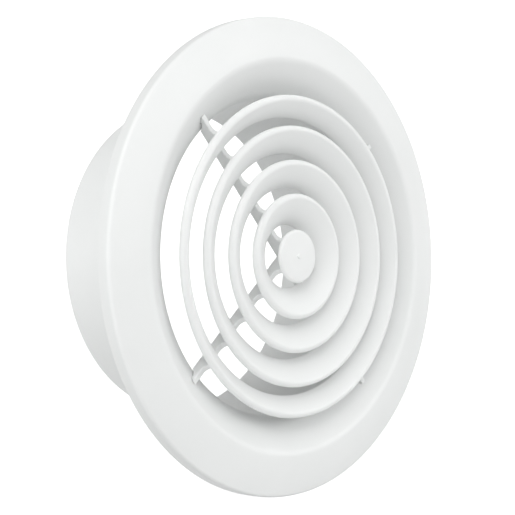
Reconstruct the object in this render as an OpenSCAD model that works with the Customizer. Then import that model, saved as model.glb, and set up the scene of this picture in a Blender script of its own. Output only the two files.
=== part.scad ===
// Round passive extract grille for a bathroom ventilation duct.
// A convex face flange with a funnel throat carries a duct spigot behind the wall
// plane. A lift-out core of four conical louvre rings and a centre disc, held by four
// crossed struts, sits in the throat. Tabs on the strut ends push into slots in the
// funnel, each with a socket behind it.
// The wall plane is Y = 0, the room is towards -Y, the duct towards +Y, and +Z is up.
// Profiles are drawn as [radius, height in front of the wall plane].

/* [Spigot] */
// Outside diameter of the duct spigot, for a 100 mm duct
spigot_d = 99; // [98:0.5:99.5]
// Wall thickness of the spigot and the neck
spigot_wall = 1.1; // [0.8:0.1:1.4]
// Length of the spigot behind the wall plane
spigot_length = 42.2; // [30:0.2:60]

/* [Face flange] */
// Outside diameter of the face flange
flange_d = 146; // [142:1:156]
// Diameter of the crest, the highest line of the face
crest_d = 121; // [120:0.5:122]
// Height of the crest in front of the wall plane
crest_height = 7.3; // [6.8:0.1:7.8]
// Rounding radius of the crest
crest_round = 3.5; // [2.5:0.1:4]
// Rounding radius of the outer rim
rim_round = 1.4; // [1:0.1:2.2]
// Thickness of the flange shell
shell_wall = 1.8; // [1.2:0.1:2]
// Width of the rim's flat back edge
rim_foot = 2.4; // [2:0.1:3]
// Slope of the domed face where it meets the rim, in degrees
face_slope_rim = 19.5; // [18:0.5:23]
// Slope of the domed face where it meets the crest, in degrees
face_slope_crest = 5; // [4:1:8]

/* [Throat] */
// Slope of the funnel against the wall plane, in degrees
funnel_slope = 35.4; // [33:0.2:38]
// Rounding radius where the funnel turns into the bore
lip_round = 5.7; // [5:0.1:6.5]

/* [Louvre rings] */
// Radii of the four front beads, from the outer ring inwards
bead_radii = [47.7, 38.4, 28.05, 17.8];
// Radius of the round front bead
bead_r = 1.3; // [1:0.05:1.5]
// Height of the bead centres in front of the wall plane
bead_height = 7.55; // [7:0.05:8]
// Radii of the four blades' rounded back edges, from the outer ring inwards
tail_radii = [42.9, 31.9, 21.5, 10.3];
// Heights of the four back edges in front of the wall plane
tail_heights = [4.1, 3.35, 3.5, 3];
// Rounding radius of the back edges
tail_r = 0.6; // [0.5:0.05:0.7]
// Radii to which the four blades' front faces are curved
blade_curves = [79, 37.5, 26.6, 23.9];
// How much tighter the back face of a blade is curved than its front face
blade_taper = 2; // [1.5:0.1:2.5]

/* [Struts and hub] */
// Turn of the strut cross about the duct axis, in degrees
cross_turn = 40.8; // [0:0.2:90]
// Thickness of the struts
strut_wall = 1.7; // [1.2:0.1:2]
// Height of the struts' front edge
strut_front = 4; // [3.6:0.05:4.2]
// Height of the struts' back edge in front of the wall plane
strut_back = 0.15; // [-0.2:0.05:0.6]
// Fillet radius where a strut rises to the next ring
strut_fillet = 2.1; // [1:0.1:2.2]
// Diameter of the centre disc
disc_d = 16.2; // [15:0.1:17]
// Thickness of the centre disc, whose edge is fully rounded
disc_wall = 1.7; // [1.4:0.1:2]
// Diameter of the hub boss behind the disc
hub_d = 5; // [4:0.5:6]
// Distance from the axis at which a strut has risen to the back of the disc
disc_web_r = 7; // [4:0.1:7.2]
// Fillet radius where a strut rises to the disc
disc_fillet = 1.5; // [1:0.1:2]
// Diameter of the small moulding pip at the middle of the disc
pip_d = 1.3; // [1:0.1:1.6]
// Height of the pip
pip_height = 0.25; // [0.15:0.05:0.35]

/* [Push tabs] */
// Distance from the duct axis to the middle of the tabs
tab_r = 53; // [52.8:0.1:53.2]
// Width of the tabs along the radius
tab_wide = 1.6; // [1.2:0.1:1.8]
// Depth of the tabs' tips behind the wall plane
tab_depth = 0.8; // [0.2:0.1:1.2]
// Gap between a tab and its slot
slot_gap = 0.15; // [0.15:0.05:0.3]
// Wall thickness of the sockets behind the slots
socket_wall = 0.8; // [0.6:0.1:1]
// Depth of the sockets behind the wall plane
socket_depth = 1.6; // [1.4:0.1:2.2]
// Gap between the struts' ends and the funnel
core_gap = 0.25; // [0.15:0.05:0.4]

/* [Back of the flange] */
// Number of stiffening ribs
rib_count = 12; // [8:1:16]
// Thickness of the ribs
rib_wall = 1.2; // [1:0.1:1.6]
// Setback of the ribs from the wall plane, outside the seal
rib_setback = 0.3; // [0.2:0.1:0.6]
// Thickness of the foam seal, flush with the wall plane
foam_wall = 1.4; // [1:0.1:1.8]
// Inner and outer radius of the foam seal
foam_radii = [57.5, 67];

/* [Hidden] */
$fn = 128;

SHELL_WHITE = "#eef0f0";
CORE_WHITE = "#f2f3f2";
FOAM_GREY = "#5b5e61";

// Points along one rounded stretch of a profile
arc_steps = 8;
// Overshoot of a cutting shape past the solid it cuts
past = 1;
// How far a blade's faces start inside its rounded edges, so that the surfaces cross
face_tuck = 0.02;
// Chamfer on both corners of a tab's tip
tip_chamfer = 0.4;

spigot_r = spigot_d / 2;
bore_r = spigot_r - spigot_wall;
core_r = bore_r - core_gap;
slot_wide = tab_wide + 2 * slot_gap;
slot_wall = strut_wall + 2 * slot_gap;
rim_r = flange_d / 2;
crest_r = crest_d / 2;
hub_r = hub_d / 2;
disc_edge_r = disc_wall / 2;
disc_back = bead_height - disc_edge_r;

// Directions, in degrees from the radius, in which the skin faces along the section
rim_facing = 90 - face_slope_rim;
crest_facing = 90 - face_slope_crest;
funnel_facing = 90 + funnel_slope;
bore_facing = 180;

function polar(centre, r, a) = [centre[0] + r * cos(a), centre[1] + r * sin(a)];
function arc(centre, r, a0, a1) =
    [for (i = [0:arc_steps]) polar(centre, r, a0 + (a1 - a0) * i / arc_steps)];

// Section of the face: rim corner, shallow dome, crest, funnel, rounded lip
crest_centre = [crest_r, crest_height - crest_round];
dome_end = polar(crest_centre, crest_round, crest_facing);
rim_centre_r = rim_r - rim_round;
dome_r = (rim_centre_r + rim_round * cos(rim_facing) - dome_end[0])
    / (cos(rim_facing) - cos(crest_facing));
dome_centre = polar(dome_end, -dome_r, crest_facing);
rim_centre = polar(dome_centre, dome_r - rim_round, rim_facing);
cone_top = polar(crest_centre, crest_round, funnel_facing);
lip_centre_r = bore_r + lip_round;
cone_foot_r = lip_centre_r + lip_round * cos(funnel_facing);
cone_foot_h = cone_top[1] - (cone_top[0] - cone_foot_r) * tan(funnel_slope);
lip_centre = [lip_centre_r, cone_foot_h - lip_round * sin(funnel_facing)];
foot_r = rim_r - rim_foot;
under_dome_r = dome_r - shell_wall;
foot_facing = acos((foot_r - dome_centre[0]) / under_dome_r);

front_skin = concat(
    [[rim_r, 0]],
    arc(rim_centre, rim_round, 0, rim_facing),
    arc(dome_centre, dome_r, rim_facing, crest_facing),
    arc(crest_centre, crest_round, crest_facing, funnel_facing),
    arc(lip_centre, lip_round, funnel_facing, bore_facing)
);
back_skin = concat(
    arc(lip_centre, lip_round - spigot_wall, bore_facing, funnel_facing),
    [polar(crest_centre, crest_round - shell_wall, funnel_facing)],
    arc(dome_centre, under_dome_r, crest_facing, foot_facing),
    [[foot_r, 0]]
);

// Turns a profile about the duct axis, with profile height towards the room
module lathe(turn = 360, start = 0)
    rotate([90, 0, 0]) rotate([0, 0, start]) rotate_extrude(angle = turn) children();

// Stands a [radius, height] plate on the strut plane at an angle about the axis
module radial_plate(angle, wall)
    rotate([90, 0, 0]) rotate([0, 0, angle]) rotate([90, 0, 0])
        linear_extrude(height = wall, center = true) children();

module bezel_section() polygon(concat(front_skin, back_skin));

// Ends of the funnel's straight back face
cone_back_top = polar(crest_centre, crest_round - shell_wall, funnel_facing);
cone_back_foot = polar(lip_centre, lip_round - spigot_wall, funnel_facing);

// Height of the funnel's back face at a radius
function cone_back_height(r) = cone_back_foot[1]
    + (r - cone_back_foot[0]) * (cone_back_top[1] - cone_back_foot[1])
    / (cone_back_top[0] - cone_back_foot[0]);

// Space between the foam seal's front and the back of the face
module rib_section()
    polygon(concat(
        [[foam_radii[0], foam_wall], [foam_radii[0], cone_back_height(foam_radii[0])]],
        [cone_back_top],
        arc(dome_centre, under_dome_r, crest_facing, foot_facing),
        [[foot_r, rib_setback], [foam_radii[1], rib_setback], [foam_radii[1], foam_wall]]
    ));

// ---- Housing ----

module front_flange()
    color(SHELL_WHITE) lathe() intersection() {
        bezel_section();
        translate([crest_r, -past]) square([rim_r, crest_height + 2 * past]);
    }

module throat_funnel()
    color(SHELL_WHITE) difference() {
        lathe() intersection() {
            bezel_section();
            translate([0, lip_centre[1] - past]) square([crest_r, spigot_length]);
        }
        for (quarter = [0:3])
            radial_plate(cross_turn + quarter * 90, slot_wall) slot_section();
    }

module duct_spigot()
    color(SHELL_WHITE) lathe()
        translate([bore_r, -spigot_length])
            square([spigot_wall, spigot_length + lip_centre[1]]);

module flange_ribs()
    color(SHELL_WHITE) for (i = [0:rib_count - 1])
        radial_plate(i * 360 / rib_count, rib_wall) rib_section();

// The slot for a tab, straight through the funnel and its socket
module slot_section()
    translate([tab_r - slot_wide / 2, -socket_depth - past])
        square([slot_wide, crest_height + socket_depth]);

// A collar between the back of the funnel and the socket's depth
module socket_section()
    intersection() {
        polygon(concat(
            [[spigot_r, -socket_depth], [spigot_r, lip_centre[1]]],
            arc(lip_centre, lip_round - spigot_wall, bore_facing, funnel_facing),
            [cone_back_top, [cone_back_top[0], -socket_depth]]
        ));
        translate([tab_r - slot_wide / 2 - socket_wall, -socket_depth])
            square([slot_wide + 2 * socket_wall, crest_height + socket_depth]);
    }

module tab_sockets()
    color(SHELL_WHITE) for (quarter = [0:3]) difference() {
        radial_plate(cross_turn + quarter * 90, slot_wall + 2 * socket_wall)
            socket_section();
        radial_plate(cross_turn + quarter * 90, slot_wall) slot_section();
    }

module foam_seal()
    color(FOAM_GREY) lathe()
        translate([foam_radii[0], 0]) square([foam_radii[1] - foam_radii[0], foam_wall]);

// ---- Core: rings and disc ----

// The point at distances d0 and d1 from p and q, to the left on the way from p to q
function apex(p, q, d0, d1) =
    let (span = norm(q - p), u = (q - p) / span)
    let (along = (d0 * d0 - d1 * d1 + span * span) / (2 * span))
    p + along * u + sqrt(d0 * d0 - along * along) * [-u[1], u[0]];

// Direction from one point to another, in degrees from 0 to 360
function heading(from, to) =
    (atan2(to[1] - from[1], to[0] - from[0]) + 360) % 360;

function nose(i) = [bead_radii[i], bead_height];
function tail(i) = [tail_radii[i], tail_heights[i]];

// Centres of the circles that touch the nose and the tail in front and behind
function front_centre(i) =
    apex(nose(i), tail(i), blade_curves[i] - bead_r, blade_curves[i] - tail_r);
function back_curve(i) = blade_curves[i] - blade_taper;
function back_centre(i) =
    apex(nose(i), tail(i), back_curve(i) + bead_r, back_curve(i) + tail_r);

module ring_section(i) {
    front = front_centre(i);
    back = back_centre(i);
    translate(nose(i)) circle(r = bead_r, $fn = 48);
    translate(tail(i)) circle(r = tail_r, $fn = 32);
    polygon(concat(
        arc(front, blade_curves[i] - face_tuck,
            heading(front, nose(i)), heading(front, tail(i))),
        arc(back, back_curve(i) + face_tuck,
            heading(back, tail(i)), heading(back, nose(i)))
    ));
}

module louvre_ring(i) color(CORE_WHITE) lathe() ring_section(i);

module outer_louvre_ring() louvre_ring(0);
module second_louvre_ring() louvre_ring(1);
module third_louvre_ring() louvre_ring(2);
module inner_louvre_ring() louvre_ring(3);

module disc_section() {
    flat_r = disc_d / 2 - disc_edge_r;
    translate([0, disc_back]) square([flat_r, disc_wall]);
    translate([flat_r, bead_height]) circle(r = disc_edge_r, $fn = 32);
    translate([0, bead_height]) square([pip_d / 2, disc_edge_r + pip_height]);
}

module centre_disc() color(CORE_WHITE) lathe() disc_section();

// A round boss behind the disc, and the square core where the four struts cross
module hub_boss()
    color(CORE_WHITE) rotate([90, 0, 0]) {
        translate([0, 0, strut_front]) cylinder(r = hub_r, h = disc_back - strut_front);
        rotate([0, 0, cross_turn])
            translate([-strut_wall / 2, -strut_wall / 2, strut_back])
                cube([strut_wall, strut_wall, disc_back - strut_back]);
    }

// ---- Core: struts and tabs ----

// Corner between the struts' front edge and a wall that rises at a radius
module fillet_section(wall_r, fillet)
    difference() {
        translate([wall_r - past, strut_front - past])
            square([past + fillet, past + fillet]);
        translate([wall_r + fillet, strut_front + fillet]) circle(r = fillet, $fn = 48);
    }

// Outline under one ring: from the strut's front edge up to the blade's middle, with a
// fillet on the side that faces the ring outside it
module ring_web_section(i) {
    polygon([
        nose(i), tail(i), [tail_radii[i], strut_back], [bead_radii[i], strut_back]
    ]);
    fillet_section(bead_radii[i], strut_fillet);
}

// Everything inside the funnel and the bore, less the gap all round the core
module throat_section()
    polygon(concat(
        [[0, crest_height], [crest_r, crest_height]],
        arc(crest_centre, crest_round + core_gap, 90, funnel_facing),
        arc(lip_centre, lip_round + core_gap, funnel_facing, bore_facing),
        [[core_r, -spigot_length], [0, -spigot_length]]
    ));

module strut_section() difference() {
    intersection() {
        union() {
            translate([strut_wall / 2, strut_back])
                square([crest_r, strut_front - strut_back]);
            translate([hub_r, strut_front - past])
                square([disc_web_r - hub_r, disc_back - strut_front + past]);
            fillet_section(disc_web_r, disc_fillet);
            for (i = [0:len(bead_radii) - 1]) ring_web_section(i);
        }
        throat_section();
    }
    for (i = [0:len(bead_radii) - 1]) ring_section(i);
    translate([0, strut_front]) square([hub_r, disc_back]);
}

module strut(quarter)
    color(CORE_WHITE) radial_plate(cross_turn + quarter * 90, strut_wall) strut_section();

module strut_top_right() strut(0);
module strut_top_left() strut(1);
module strut_bottom_left() strut(2);
module strut_bottom_right() strut(3);

module tab_section()
    difference() {
        translate([tab_r, 0]) polygon([
            [-tab_wide / 2, tip_chamfer - tab_depth], [tip_chamfer - tab_wide / 2, -tab_depth],
            [tab_wide / 2 - tip_chamfer, -tab_depth], [tab_wide / 2, tip_chamfer - tab_depth],
            [tab_wide / 2, strut_front], [-tab_wide / 2, strut_front]
        ]);
        throat_section();
    }

module push_tab(quarter)
    color(CORE_WHITE) radial_plate(cross_turn + quarter * 90, strut_wall) tab_section();

module push_tab_top_right() push_tab(0);
module push_tab_top_left() push_tab(1);
module push_tab_bottom_left() push_tab(2);
module push_tab_bottom_right() push_tab(3);

front_flange();
throat_funnel();
duct_spigot();
flange_ribs();
tab_sockets();
foam_seal();
outer_louvre_ring();
second_louvre_ring();
third_louvre_ring();
inner_louvre_ring();
centre_disc();
hub_boss();
strut_top_right();
strut_top_left();
strut_bottom_left();
strut_bottom_right();
push_tab_top_right();
push_tab_top_left();
push_tab_bottom_left();
push_tab_bottom_right();
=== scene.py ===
"""Looks for the round ring-louvre duct grille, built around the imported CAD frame.

Row frame, in metres: the wall plane is Y = 0, the room is towards -Y, the duct towards
+Y, and +Z is up. Profiles are lists of (radius, height in front of the wall plane).
"""

import math

import bmesh
import bpy
from mathutils import Matrix, Vector


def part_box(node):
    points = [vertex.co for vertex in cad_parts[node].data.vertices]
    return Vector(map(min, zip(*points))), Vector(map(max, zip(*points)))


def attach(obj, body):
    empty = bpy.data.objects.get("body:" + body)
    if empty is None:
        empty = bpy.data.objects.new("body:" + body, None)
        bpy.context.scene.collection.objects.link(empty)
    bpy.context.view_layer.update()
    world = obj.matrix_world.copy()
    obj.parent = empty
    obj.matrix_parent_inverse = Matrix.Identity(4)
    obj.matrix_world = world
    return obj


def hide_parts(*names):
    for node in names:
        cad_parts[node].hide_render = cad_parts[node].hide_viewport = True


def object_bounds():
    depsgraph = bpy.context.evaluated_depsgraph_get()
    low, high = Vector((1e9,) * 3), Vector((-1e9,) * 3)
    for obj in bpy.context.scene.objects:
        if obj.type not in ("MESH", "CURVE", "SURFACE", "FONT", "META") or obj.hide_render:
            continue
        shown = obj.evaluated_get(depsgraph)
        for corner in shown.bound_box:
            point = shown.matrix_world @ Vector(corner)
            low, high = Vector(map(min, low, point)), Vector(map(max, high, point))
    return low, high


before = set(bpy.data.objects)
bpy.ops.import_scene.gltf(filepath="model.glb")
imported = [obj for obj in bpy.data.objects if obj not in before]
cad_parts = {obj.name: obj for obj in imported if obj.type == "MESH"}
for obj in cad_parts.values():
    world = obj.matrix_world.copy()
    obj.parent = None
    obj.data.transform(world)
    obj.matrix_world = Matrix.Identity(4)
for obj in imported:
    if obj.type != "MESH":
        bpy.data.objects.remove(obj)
CAD_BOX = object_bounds()

MM = 0.001
SEGMENTS = 384
SMALL_SEGMENTS = 128
HUB_SEGMENTS = 96

# Steps of the arcs, from the broad domes to the small edges
DOME_STEP = math.radians(0.5)
ARC_STEP = math.radians(3)
NOSE_STEP = math.radians(7)
FILLET_STEP = math.radians(10)
EDGE_STEP = math.radians(15)
BLADE_STEPS = 16

# Edges that turn by more than this are drawn sharp
SHARP = math.radians(32)


# ---------------------------------------------------------------- sizes from the CAD

def radius_of(node):
    """Largest distance of a CAD node from the duct axis."""
    low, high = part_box(node)
    return max(-low.x, high.x, -low.z, high.z)


def heights_of(node):
    """(rear, front) heights of a CAD node, measured from the wall plane to the room."""
    low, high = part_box(node)
    return -high.y, -low.y


RIM_R = radius_of("front_flange")
CREST_H = heights_of("front_flange")[1]
SPIGOT_R = radius_of("duct_spigot")
SPIGOT_END_H, LIP_H = heights_of("duct_spigot")
DISC_R = radius_of("centre_disc")
STRUT_BACK_H = heights_of("strut_top_right")[0]
TAB_END_H = heights_of("push_tab_top_right")[0]
SOCKET_END_H = heights_of("tab_sockets")[0]
FOAM_R = radius_of("foam_seal")
FOAM_H = heights_of("foam_seal")[1]
BEAD_R = 1.3 * MM
RING_NODES = ("outer_louvre_ring", "second_louvre_ring",
              "third_louvre_ring", "inner_louvre_ring")
RING_RADII = [radius_of(node) - BEAD_R for node in RING_NODES]
BEAD_H = heights_of("outer_louvre_ring")[1] - BEAD_R

WALL = 1.1 * MM
SHELL = 1.8 * MM
BORE_R = SPIGOT_R - WALL
CREST_R = 60.5 * MM
CREST_ROUND = 3.5 * MM
RIM_ROUND = 1.4 * MM
RIM_FOOT = 2.4 * MM
LIP_ROUND = 5.7 * MM
FUNNEL_SLOPE = math.radians(35.4)
RIM_FACING = math.radians(90 - 19.5)
CREST_FACING = math.radians(90 - 5)
FUNNEL_FACING = math.radians(90) + FUNNEL_SLOPE
CORE_GAP = 0.25 * MM

# Centres and radius of the blades' rounded back edges, and the curve of their front faces
TAILS = [(42.9 * MM, 4.1 * MM), (31.9 * MM, 3.35 * MM),
         (21.5 * MM, 3.5 * MM), (10.3 * MM, 3.0 * MM)]
TAIL_R = 0.6 * MM
BLADE_CURVES = [79.0 * MM, 37.5 * MM, 26.6 * MM, 23.9 * MM]
BLADE_TAPER = 2.0 * MM

CROSS_TURN = 40.8
STRUT_WALL = 1.7 * MM
STRUT_FRONT_H = 4.0 * MM
STRUT_FILLET = 2.1 * MM
STRUT_EDGE = 0.3 * MM
HUB_R = 2.5 * MM
DISC_WEB_R = 7.0 * MM
DISC_FILLET = 1.5 * MM
DISC_WALL = 1.7 * MM
PIP_R = 0.65 * MM
PIP_H = 0.25 * MM
TAB_R = 53.0 * MM
TAB_WIDE = 1.6 * MM
SLOT_GAP = 0.15 * MM
SLOT_WIDE = TAB_WIDE + 2 * SLOT_GAP
SLOT_WALL = STRUT_WALL + 2 * SLOT_GAP
SOCKET_WALL = 0.8 * MM
FOAM_INNER_R = 57.5 * MM

# Radii of the small edges and corners
RIM_EDGE = 0.3 * MM
SPIGOT_EDGE = 0.4 * MM
FOAM_EDGE = 0.35 * MM
PIP_EDGE = 0.15 * MM
HUB_EDGE = 0.5 * MM
TAB_EDGE = 0.4 * MM
TAB_SIDE_EDGE = 0.2 * MM
SOCKET_EDGE = 0.2 * MM
SOCKET_CORNER = 0.5 * MM
SOCKET_EDGE_CORNER = 0.3 * MM
SLOT_CORNER = 0.1 * MM
CUTTER_EDGE = 0.01 * MM

# How far one piece runs on inside its neighbour
HUB_IN_DISC = 0.2 * MM
HUB_IN_STRUT = 0.3 * MM
STRUT_IN_BEAD = 0.6 * MM
STRUT_IN_DISC = 0.1 * MM
TAB_IN_STRUT = 0.35 * MM
SOCKET_IN_FUNNEL = 0.3 * MM


# ---------------------------------------------------------------- profiles

def polar(centre, r, a):
    """The point at a radius and an angle from a centre."""
    return (centre[0] + r * math.cos(a), centre[1] + r * math.sin(a))


def arc(centre, r, a0, a1, step=ARC_STEP):
    """Points along an arc, both ends included."""
    n = max(2, int(math.ceil(abs(a1 - a0) / step)))
    return [polar(centre, r, a0 + (a1 - a0) * i / n) for i in range(n + 1)]


def line(p, q, n):
    """Points from p to q, without q."""
    return [(p[0] + (q[0] - p[0]) * i / n, p[1] + (q[1] - p[1]) * i / n) for i in range(n)]


def apex(p, q, d0, d1):
    """The point at distances d0 and d1 from p and q, to the left on the way from p to q."""
    span = math.dist(p, q)
    ux, uy = (q[0] - p[0]) / span, (q[1] - p[1]) / span
    along = (d0 * d0 - d1 * d1 + span * span) / (2 * span)
    off = math.sqrt(d0 * d0 - along * along)
    return (p[0] + along * ux - off * uy, p[1] + along * uy + off * ux)


def heading(centre, p):
    """The angle at which a point lies from a centre."""
    return math.atan2(p[1] - centre[1], p[0] - centre[0])


def bezel():
    """Centres of the face's arcs: crest, dome and its radius, rim and lip."""
    crest_c = (CREST_R, CREST_H - CREST_ROUND)
    dome_end = polar(crest_c, CREST_ROUND, CREST_FACING)
    dome_r = (RIM_R - RIM_ROUND + RIM_ROUND * math.cos(RIM_FACING) - dome_end[0]) / (
        math.cos(RIM_FACING) - math.cos(CREST_FACING))
    dome_c = polar(dome_end, -dome_r, CREST_FACING)
    rim_c = polar(dome_c, dome_r - RIM_ROUND, RIM_FACING)
    lip_c = (BORE_R + LIP_ROUND, LIP_H)
    return crest_c, dome_c, dome_r, rim_c, lip_c


CREST_C, DOME_C, DOME_R, RIM_C, LIP_C = bezel()
UNDER_R = DOME_R - SHELL
UNDER_CREST_FACING = math.acos((CREST_R - DOME_C[0]) / UNDER_R)


def flange_profile():
    """The domed face from the crest to the rim, hollow behind."""
    foot_r = RIM_R - RIM_FOOT
    foot_facing = math.acos((foot_r - DOME_C[0]) / UNDER_R)
    e = RIM_EDGE
    return (
        arc((RIM_R - e, e), e, math.radians(-90), 0)
        + arc(RIM_C, RIM_ROUND, 0, RIM_FACING)
        + arc(DOME_C, DOME_R, RIM_FACING, CREST_FACING, DOME_STEP)[1:]
        + arc(CREST_C, CREST_ROUND, CREST_FACING, math.pi / 2)[1:]
        + arc(DOME_C, UNDER_R, UNDER_CREST_FACING, foot_facing, DOME_STEP)
        + arc((foot_r + e, e), e, math.pi, math.radians(270))
    )


def funnel_profile():
    """The cone from the crest down into the bore, with its rounded lip."""
    return (
        arc(CREST_C, CREST_ROUND, math.pi / 2, FUNNEL_FACING)
        + arc(LIP_C, LIP_ROUND, FUNNEL_FACING, math.pi)
        + arc(LIP_C, LIP_ROUND - WALL, math.pi, FUNNEL_FACING)
        + [polar(CREST_C, CREST_ROUND - SHELL, FUNNEL_FACING)]
        + [polar(DOME_C, UNDER_R, UNDER_CREST_FACING)]
    )


def spigot_profile():
    """The plain tube, with rounded edges at its open end."""
    e, end = SPIGOT_EDGE, SPIGOT_END_H
    return (
        [(BORE_R, LIP_H)] + line((BORE_R, LIP_H - MM), (BORE_R, end + e), 4)
        + arc((BORE_R + e, end + e), e, math.pi, math.radians(270))
        + arc((SPIGOT_R - e, end + e), e, math.radians(270), math.radians(360))
        + [(SPIGOT_R, LIP_H)]
    )


def ring_profile(i):
    """Round nose, curved front face, rounded tail and hollow back face, all tangent."""
    nose, tail = (RING_RADII[i], BEAD_H), TAILS[i]
    front_r = BLADE_CURVES[i]
    back_r = front_r - BLADE_TAPER
    front = apex(nose, tail, front_r - BEAD_R, front_r - TAIL_R)
    back = apex(nose, tail, back_r + BEAD_R, back_r + TAIL_R)
    front_0, front_1 = heading(front, nose), heading(front, tail)
    back_0, back_1 = heading(back, nose), heading(back, tail)
    blade_step = (front_1 - front_0) / BLADE_STEPS
    return (
        arc(nose, BEAD_R, back_0 - math.pi, front_0, NOSE_STEP)
        + arc(front, front_r, front_0, front_1, blade_step)[1:]
        + arc(tail, TAIL_R, front_1, back_1 + math.pi, EDGE_STEP)[1:]
        + arc(back, back_r, back_1, back_0, blade_step)[1:-1]
    )


def disc_profile():
    """The centre disc with its fully rounded edge and the pip at its middle."""
    edge = DISC_WALL / 2
    front = BEAD_H + edge
    f = PIP_EDGE
    return (
        [(0, BEAD_H - edge), (HUB_R, BEAD_H - edge)]
        + arc((DISC_R - edge, BEAD_H), edge, math.radians(-90), math.pi / 2, FILLET_STEP)
        + [(DISC_R * 0.5, front)]
        + arc((PIP_R + f, front + f), f, math.radians(270), math.radians(180), EDGE_STEP)
        + arc((PIP_R - f, front + PIP_H - f), f, 0, math.pi / 2, EDGE_STEP)
        + [(0, front + PIP_H)]
    )


def hub_profile():
    """Boss behind the disc, with a fillet at the disc and a rounded foot on the struts."""
    f = HUB_EDGE
    top = BEAD_H - DISC_WALL / 2 + HUB_IN_DISC
    under_disc = top - HUB_IN_DISC
    low = STRUT_FRONT_H - HUB_IN_STRUT
    return (
        [(0, top), (HUB_R + f, top), (HUB_R + f, under_disc)]
        + arc((HUB_R + f, under_disc - f), f, math.pi / 2, math.pi, FILLET_STEP)[1:]
        + arc((HUB_R - f, low + f), f, 0, math.radians(-90), FILLET_STEP)
        + [(0, low)]
    )


def foam_profile():
    """The flat seal, a rectangle with soft corners."""
    e = FOAM_EDGE
    return (
        arc((FOAM_R - e, e), e, math.radians(-90), 0, EDGE_STEP)
        + arc((FOAM_R - e, FOAM_H - e), e, 0, math.pi / 2, EDGE_STEP)
        + arc((FOAM_INNER_R + e, FOAM_H - e), e, math.pi / 2, math.pi, EDGE_STEP)
        + arc((FOAM_INNER_R + e, e), e, math.pi, math.radians(270), EDGE_STEP)
    )


# ---------------------------------------------------------------- meshes

def add_object(name, mesh):
    obj = bpy.data.objects.new(name, mesh)
    bpy.context.scene.collection.objects.link(obj)
    return obj


def mark_sharp(bm):
    """Smooth faces, with sharp edges where the surface really turns."""
    for face in bm.faces:
        face.smooth = True
    for edge in bm.edges:
        edge.smooth = not (edge.is_manifold and edge.calc_face_angle(0.0) > SHARP)


def finish_mesh(bm, name, creases=()):
    """An object with outward normals from a built mesh, sharp along the creases."""
    bmesh.ops.remove_doubles(bm, verts=bm.verts, dist=1e-7)
    bmesh.ops.recalc_face_normals(bm, faces=bm.faces)
    mark_sharp(bm)
    for edge in creases:
        edge.smooth = False
    mesh = bpy.data.meshes.new(name)
    bm.to_mesh(mesh)
    bm.free()
    return add_object(name, mesh)


def bridge(bm, here, there):
    """Faces between two closed loops of the same length."""
    n = len(here)
    for k in range(n):
        m = (k + 1) % n
        bm.faces.new((here[k], here[m], there[m], there[k]))


def lathe(name, profile, segments=SEGMENTS):
    """Turns a closed profile about the duct axis."""
    bm = bmesh.new()
    rings = []
    for i in range(segments):
        a = 2 * math.pi * i / segments
        c, s = math.cos(a), math.sin(a)
        rings.append([bm.verts.new((r * c, -h, r * s)) for r, h in profile])
    n = len(profile)
    for i in range(segments):
        here, there = rings[i], rings[(i + 1) % segments]
        for k in range(n):
            m = (k + 1) % n
            if profile[k][0] == 0 and profile[m][0] == 0:
                continue
            bm.faces.new((here[k], here[m], there[m], there[k]))
    return finish_mesh(bm, name)


def inset(outline, d):
    """The outline moved inwards by d, corner by corner."""
    n = len(outline)
    area = sum(outline[i - 1][0] * outline[i][1] - outline[i][0] * outline[i - 1][1]
               for i in range(n))
    side = 1 if area > 0 else -1
    moved = []
    for i in range(n):
        p, q, s = outline[i - 1], outline[i], outline[(i + 1) % n]
        u = Vector((q[0] - p[0], q[1] - p[1])).normalized()
        v = Vector((s[0] - q[0], s[1] - q[1])).normalized()
        nu, nv = Vector((-u.y, u.x)) * side, Vector((-v.y, v.x)) * side
        miter = nu + nv
        miter = miter * (d / max(0.35, miter.dot(nu)))
        moved.append((q[0] + miter.x, q[1] + miter.y))
    return moved


def slab(name, outline, wall, edge, place, steps=4):
    """A plate with this outline and rounded edges. place turns (x, y, depth) into 3-D."""
    bm = bmesh.new()
    layers = []
    for side in (-1, 1):
        for i in range(steps + 1):
            a = math.pi / 2 * (i if side < 0 else steps - i) / steps
            depth = side * (wall / 2 - edge + edge * math.cos(a))
            layers.append([bm.verts.new(place(x, y, depth))
                           for x, y in inset(outline, edge * (1 - math.sin(a)))])
    for below, above in zip(layers, layers[1:]):
        bridge(bm, below, above)
    sides = [bm.faces.new(layers[0]), bm.faces.new(layers[-1])]
    creases = [border for face in sides for border in face.edges]
    bm.normal_update()
    bmesh.ops.triangulate(bm, faces=sides)
    return finish_mesh(bm, name, creases)


def rise(wall_r, fillet):
    """The fillet that turns the strut's front edge up along a wall at a radius."""
    corner = (wall_r + fillet, STRUT_FRONT_H + fillet)
    return arc(corner, fillet, math.radians(270), math.pi, FILLET_STEP)


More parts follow.
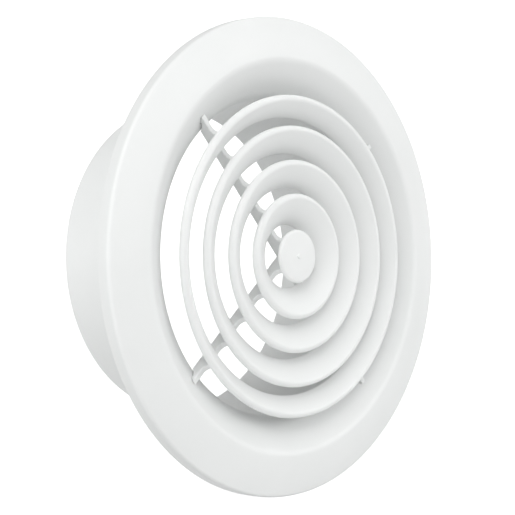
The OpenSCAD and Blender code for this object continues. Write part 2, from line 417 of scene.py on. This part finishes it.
def strut_outline():
    """From the hub outwards along the back edge, then inwards along the front edge."""
    core_lip = LIP_ROUND + CORE_GAP
    back_facing = math.pi - math.asin((STRUT_BACK_H - LIP_H) / core_lip)
    cone_p = polar(LIP_C, core_lip, FUNNEL_FACING)
    front_r = cone_p[0] + (STRUT_FRONT_H - cone_p[1]) / math.tan(FUNNEL_SLOPE)
    points = line((0.0, STRUT_BACK_H), polar(LIP_C, core_lip, back_facing), 12)
    points += arc(LIP_C, core_lip, back_facing, FUNNEL_FACING)
    points.append((front_r, STRUT_FRONT_H))
    for r, tail in zip(RING_RADII, TAILS):
        points += rise(r, STRUT_FILLET)
        points.append((r, BEAD_H - STRUT_IN_BEAD))
        share = (BEAD_H - STRUT_FRONT_H) / (BEAD_H - tail[1])
        points.append((r + (tail[0] - r) * share, STRUT_FRONT_H))
    points += rise(DISC_WEB_R, DISC_FILLET)
    inside_disc = BEAD_H - DISC_WALL / 2 + STRUT_IN_DISC
    return points + [(DISC_WEB_R, inside_disc), (0.0, inside_disc)]


def on_strut(angle):
    """Places (radius, height, depth across) on the strut at an angle round the axis."""
    c, s = math.cos(angle), math.sin(angle)
    return lambda x, y, depth: (x * c - depth * s, -y, x * s + depth * c)


def funnel_front(r):
    """Height of the funnel's straight front face at a radius."""
    foot = polar(LIP_C, LIP_ROUND, FUNNEL_FACING)
    return foot[1] + (r - foot[0]) * math.tan(FUNNEL_SLOPE)


def funnel_back(r):
    """Height of the funnel's straight back face at a radius."""
    foot = polar(LIP_C, LIP_ROUND - WALL, FUNNEL_FACING)
    top = polar(CREST_C, CREST_ROUND - SHELL, FUNNEL_FACING)
    return foot[1] + (r - foot[0]) * (top[1] - foot[1]) / (top[0] - foot[0])


def tab_outline():
    """A blunt tab, whose top runs inside the slanted end of its strut."""
    inner, outer = TAB_R - TAB_WIDE / 2, TAB_R + TAB_WIDE / 2
    e = TAB_EDGE
    inside = CORE_GAP + TAB_IN_STRUT
    return (
        arc((inner + e, TAB_END_H + e), e, math.pi, math.radians(270), EDGE_STEP)
        + arc((outer - e, TAB_END_H + e), e, math.radians(270), math.radians(360), EDGE_STEP)
        + [(outer, funnel_front(outer) + inside), (inner, funnel_front(inner) + inside)]
    )


def rounded_box(wide, high, corner, steps=4):
    """Outline of a rectangle with rounded corners, about its middle."""
    x, y = wide / 2 - corner, high / 2 - corner
    points = []
    for turn, cx, cy in ((0, x, y), (90, -x, y), (180, -x, -y), (270, x, -y)):
        points += arc((cx, cy), corner, math.radians(turn), math.radians(turn + 90),
                      math.radians(90 / steps))
    return points


def socket_collars(name):
    """Four rectangular collars round the tab slots, let into the back of the funnel."""
    wide, high = SLOT_WIDE + 2 * SOCKET_WALL, SLOT_WALL + 2 * SOCKET_WALL
    e = SOCKET_EDGE
    outside = rounded_box(wide, high, SOCKET_CORNER)
    end_outside = rounded_box(wide - 2 * e, high - 2 * e, SOCKET_EDGE_CORNER)
    end_inside = rounded_box(SLOT_WIDE + 2 * e, SLOT_WALL + 2 * e, SOCKET_EDGE_CORNER)
    inside = rounded_box(SLOT_WIDE, SLOT_WALL, SLOT_CORNER)
    # Each loop has a height, or None where it follows the funnel's back face
    loops = ((outside, None), (outside, SOCKET_END_H + e), (end_outside, SOCKET_END_H),
             (end_inside, SOCKET_END_H), (inside, SOCKET_END_H + e), (inside, None))
    bm = bmesh.new()
    for quarter in range(4):
        place = on_strut(math.radians(CROSS_TURN + 90 * quarter))
        rings = []
        for loop, h in loops:
            rings.append([])
            for x, y in loop:
                r = TAB_R + x
                height = funnel_back(r) + SOCKET_IN_FUNNEL if h is None else h
                rings[-1].append(bm.verts.new(place(r, height, y)))
        for here, there in zip(rings, rings[1:] + rings[:1]):
            bridge(bm, here, there)
    return finish_mesh(bm, name)


def cut_slots(piece):
    """Cuts the four tab slots through the funnel."""
    inner, outer = TAB_R - SLOT_WIDE / 2, TAB_R + SLOT_WIDE / 2
    low, high = SOCKET_END_H, CREST_H
    outline = [(inner, low), (outer, low), (outer, high), (inner, high)]
    for quarter in range(4):
        angle = math.radians(CROSS_TURN + 90 * quarter)
        cutter = slab("cutter", outline, SLOT_WALL, CUTTER_EDGE, on_strut(angle), 1)
        modifier = piece.modifiers.new("slot", "BOOLEAN")
        modifier.operation = "DIFFERENCE"
        modifier.solver = "EXACT"
        modifier.object = cutter
    shape = piece.evaluated_get(bpy.context.evaluated_depsgraph_get())
    bm = bmesh.new()
    bm.from_mesh(shape.to_mesh())
    for modifier in list(piece.modifiers):
        bpy.data.objects.remove(modifier.object)
    piece.modifiers.clear()
    mark_sharp(bm)
    bm.to_mesh(piece.data)
    bm.free()


# ---------------------------------------------------------------- materials

def new_material(name):
    """A material with an empty Principled shader and the object's coordinates."""
    mat = bpy.data.materials.new(name)
    mat.use_nodes = True
    nodes, links = mat.node_tree.nodes, mat.node_tree.links
    nodes.clear()
    out = nodes.new("ShaderNodeOutputMaterial")
    shader = nodes.new("ShaderNodeBsdfPrincipled")
    links.new(shader.outputs["BSDF"], out.inputs["Surface"])
    coords = nodes.new("ShaderNodeTexCoord")
    return mat, nodes, links, shader, coords


def noise(nodes, links, coords, scale, detail=2.0):
    """Noise between 0 and 1, with this many cells to the metre."""
    tex = nodes.new("ShaderNodeTexNoise")
    tex.inputs["Scale"].default_value = scale
    tex.inputs["Detail"].default_value = detail
    links.new(coords.outputs["Object"], tex.inputs["Vector"])
    return tex.outputs["Fac"]


def ramp(nodes, links, fac, low, high):
    """A colour ramp between two grey or RGB values."""
    node = nodes.new("ShaderNodeValToRGB")
    for element, value in zip(node.color_ramp.elements, (low, high)):
        rgb = value if isinstance(value, tuple) else (value,) * 3
        element.color = (*rgb, 1.0)
    node.color_ramp.elements[0].position = 0.3
    node.color_ramp.elements[1].position = 0.7
    links.new(fac, node.inputs["Fac"])
    return node.outputs["Color"]


def bump(nodes, links, height, strength, distance, below=None):
    """Relief of a depth in metres, on top of the relief below it."""
    node = nodes.new("ShaderNodeBump")
    node.inputs["Strength"].default_value = strength
    node.inputs["Distance"].default_value = distance
    links.new(height, node.inputs["Height"])
    if below is not None:
        links.new(below, node.inputs["Normal"])
    return node.outputs["Normal"]


PLASTIC_IOR = 1.49


def moulded_plastic(name, dark, light, rough_low, rough_high):
    """White injection-moulded plastic: faint colour drift, fine spark-eroded grain."""
    mat, nodes, links, shader, coords = new_material(name)
    drift = noise(nodes, links, coords, scale=45.0)
    links.new(ramp(nodes, links, drift, dark, light), shader.inputs["Base Color"])
    sheen = noise(nodes, links, coords, scale=160.0, detail=3.0)
    links.new(ramp(nodes, links, sheen, rough_low, rough_high), shader.inputs["Roughness"])
    waves = noise(nodes, links, coords, scale=220.0)
    flow = bump(nodes, links, waves, strength=0.25, distance=0.01 * MM)
    sparks = noise(nodes, links, coords, scale=2600.0)
    grain = bump(nodes, links, sparks, strength=0.35, distance=0.006 * MM, below=flow)
    links.new(grain, shader.inputs["Normal"])
    shader.inputs["IOR"].default_value = PLASTIC_IOR
    return mat


def closed_cell_foam(name, dark, light):
    """Matt foam rubber with a skin of small pores."""
    mat, nodes, links, shader, coords = new_material(name)
    cells = nodes.new("ShaderNodeTexVoronoi")
    cells.inputs["Scale"].default_value = 1500.0
    links.new(coords.outputs["Object"], cells.inputs["Vector"])
    colour = ramp(nodes, links, cells.outputs["Distance"], dark, light)
    links.new(colour, shader.inputs["Base Color"])
    shader.inputs["Roughness"].default_value = 0.9
    pores = bump(nodes, links, cells.outputs["Distance"], strength=0.8, distance=0.2 * MM)
    links.new(pores, shader.inputs["Normal"])
    return mat


SHELL_MAT = moulded_plastic(
    "shell_plastic", (0.862, 0.871, 0.866), (0.883, 0.890, 0.886), 0.36, 0.44)
CORE_MAT = moulded_plastic(
    "core_plastic", (0.868, 0.877, 0.872), (0.887, 0.893, 0.889), 0.34, 0.42)
FOAM_MAT = closed_cell_foam(
    "seal_foam", (0.09, 0.095, 0.1), (0.17, 0.175, 0.18))


# ---------------------------------------------------------------- pieces

def put(piece, body, node, material):
    """The piece rides on its CAD body and stands for its CAD node."""
    piece.data.materials.clear()
    piece.data.materials.append(material)
    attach(piece, body)
    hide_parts(node)


def build_housing():
    """The turned mouldings, the collars and the seal; the ribs keep their CAD shape."""
    made = [
        ("flange_moulding", flange_profile(), "front_flange"),
        ("funnel_moulding", funnel_profile(), "throat_funnel"),
        ("spigot_moulding", spigot_profile(), "duct_spigot"),
    ]
    for name, profile, node in made:
        piece = lathe(name, profile)
        if node == "throat_funnel":
            cut_slots(piece)
        put(piece, "housing", node, SHELL_MAT)
    put(socket_collars("socket_collars"), "housing", "tab_sockets", SHELL_MAT)
    put(lathe("seal_ring", foam_profile()), "housing", "foam_seal", FOAM_MAT)
    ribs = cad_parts["flange_ribs"]
    ribs.data.materials.clear()
    ribs.data.materials.append(SHELL_MAT)


def build_core():
    """The rings, the disc and its hub, and four arms with their tabs."""
    for i, node in enumerate(RING_NODES):
        ring = lathe(node.replace("louvre_ring", "louvre"), ring_profile(i))
        put(ring, "louvre_core", node, CORE_MAT)
    put(lathe("disc_moulding", disc_profile(), SMALL_SEGMENTS), "louvre_core",
        "centre_disc", CORE_MAT)
    put(lathe("hub_moulding", hub_profile(), HUB_SEGMENTS), "louvre_core",
        "hub_boss", CORE_MAT)
    corners = ("top_right", "top_left", "bottom_left", "bottom_right")
    for quarter, corner in enumerate(corners):
        angle = math.radians(CROSS_TURN + 90 * quarter)
        arm = slab("arm_" + corner, strut_outline(), STRUT_WALL, STRUT_EDGE, on_strut(angle))
        put(arm, "louvre_core", "strut_" + corner, CORE_MAT)
        tab = slab("tab_" + corner, tab_outline(), STRUT_WALL, TAB_SIDE_EDGE, on_strut(angle))
        put(tab, "louvre_core", "push_tab_" + corner, CORE_MAT)


build_housing()
build_core()


# ---------------------------------------------------------------- stage

def build_stage():
    """A seamless pale studio: a round floor under the flange that curves up all round."""
    floor_z, radius, bend, height = CAD_BOX[0].z, 3.0, 0.9, 3.0
    bend_steps, rounds = 16, 96
    section = [(0.0, 0.0)]
    for i in range(bend_steps + 1):
        a = math.pi / 2 * i / bend_steps
        section.append((radius - bend + bend * math.sin(a), bend - bend * math.cos(a)))
    section += [(radius, height), (0.0, height)]
    bm = bmesh.new()
    rings = []
    for i in range(rounds):
        a = 2 * math.pi * i / rounds
        c, s = math.cos(a), math.sin(a)
        rings.append([bm.verts.new((r * c, r * s, floor_z + z)) for r, z in section])
    for here, there in zip(rings, rings[1:] + rings[:1]):
        for k in range(len(section) - 1):
            bm.faces.new((here[k], there[k], there[k + 1], here[k + 1]))
    studio = finish_mesh(bm, "studio")
    mat, nodes, links, shader, coords = new_material("studio_paper")
    colour = ramp(nodes, links, noise(nodes, links, coords, scale=3.0, detail=3.0), 0.58, 0.6)
    links.new(colour, shader.inputs["Base Color"])
    shader.inputs["Roughness"].default_value = 0.9
    shader.inputs["Specular IOR Level"].default_value = 0.0
    shader.inputs["Emission Color"].default_value = (1.0, 1.0, 1.0, 1.0)
    shader.inputs["Emission Strength"].default_value = 0.8
    studio.data.materials.append(mat)
    # The camera sees the paper, and the sky lights the object through it
    studio.visible_diffuse = False
    studio.visible_glossy = False
    studio.visible_shadow = False


# Degrees to the left of the front, and degrees of roll
CAMERA_AZIMUTH = 47.9
CAMERA_ROLL = -1.1
CAMERA_DISTANCE = 0.449
LENS = 102.55
SENSOR = 36.0
# How far the rim's centre lies right of and above the frame's middle, as tangents
AIM_RIGHT = 0.018882
AIM_UP = 0.0006135
# The point on the duct axis that the camera's distance is measured from
RIM_CENTRE = Vector((0.0, -2.775 * MM, 0.0))


def build_camera():
    """A level long-lens camera in front of the grille, to its left."""
    a, roll = math.radians(-CAMERA_AZIMUTH), math.radians(CAMERA_ROLL)
    away = Vector((math.sin(a), -math.cos(a), 0.0))
    ahead = -away
    side, up = ahead.cross(Vector((0, 0, 1))), Vector((0, 0, 1))
    right = side * math.cos(roll) + up * math.sin(roll)
    top = up * math.cos(roll) - side * math.sin(roll)
    ahead = (ahead - right * AIM_RIGHT - top * AIM_UP).normalized()
    right = (right - ahead * right.dot(ahead)).normalized()
    top = right.cross(ahead)
    data = bpy.data.cameras.new("camera")
    data.lens = LENS
    data.sensor_width = SENSOR
    data.clip_start, data.clip_end = 0.01, 20.0
    camera = add_object("camera", data)
    turn = Matrix((right, top, -ahead)).transposed().to_4x4()
    camera.matrix_world = Matrix.Translation(RIM_CENTRE + away * CAMERA_DISTANCE) @ turn
    bpy.context.scene.camera = camera


# Soft boxes of the studio, as lobes of the sky: degrees to the right of the camera's side,
# degrees up, sharpness, strength
SKY = [
    (-135, -35, 6, 0.76), (0, -45, 6, 0.99), (180, 0, 6, 1.28), (90, -45, 6, 1.07),
    (90, 45, 6, 0.94), (135, 0, 6, 0.94), (-45, 0, 6, 1.82), (0, 90, 6, 0.51),
    (-60, 15, 50, 2.09), (0, 15, 50, 1.48), (60, 15, 50, 3.61), (90, 15, 50, 4.37),
    (0, 35, 50, 6.04), (-30, 55, 50, 4.72),
]
SKY_TINT = (0.992, 1.0, 0.997, 1.0)


def math_node(nodes, links, operation, first, second):
    """A sum, product and so on of two sockets or numbers."""
    node = nodes.new("ShaderNodeMath")
    node.operation = operation
    for socket, value in zip(node.inputs, (first, second)):
        if isinstance(value, bpy.types.NodeSocket):
            links.new(value, socket)
        else:
            socket.default_value = value
    return node.outputs["Value"]


def build_sky():
    """A world whose brightness is the sum of the soft boxes."""
    world = bpy.data.worlds.new("studio_sky")
    world.use_nodes = True
    nodes, links = world.node_tree.nodes, world.node_tree.links
    nodes.clear()
    out = nodes.new("ShaderNodeOutputWorld")
    background = nodes.new("ShaderNodeBackground")
    background.inputs["Color"].default_value = SKY_TINT
    links.new(background.outputs["Background"], out.inputs["Surface"])
    coords = nodes.new("ShaderNodeTexCoord")
    total = 0.0
    for azimuth, elevation, sharpness, strength in SKY:
        a, e = math.radians(azimuth - CAMERA_AZIMUTH), math.radians(elevation)
        toward = (math.sin(a) * math.cos(e), -math.cos(a) * math.cos(e), math.sin(e))
        facing = nodes.new("ShaderNodeVectorMath")
        facing.operation = "DOT_PRODUCT"
        links.new(coords.outputs["Generated"], facing.inputs[0])
        facing.inputs[1].default_value = toward
        lobe = math_node(nodes, links, "MAXIMUM", facing.outputs["Value"], 0.0)
        lobe = math_node(nodes, links, "POWER", lobe, sharpness)
        lobe = math_node(nodes, links, "MULTIPLY", lobe, strength)
        total = math_node(nodes, links, "ADD", lobe, total)
    links.new(total, background.inputs["Strength"])
    bpy.context.scene.world = world
    view = bpy.context.scene.view_settings
    view.view_transform = "Standard"
    view.look = "None"
    view.exposure = 0.0
    view.gamma = 1.0


build_stage()
build_camera()
build_sky()

bpy.context.view_layer.update()
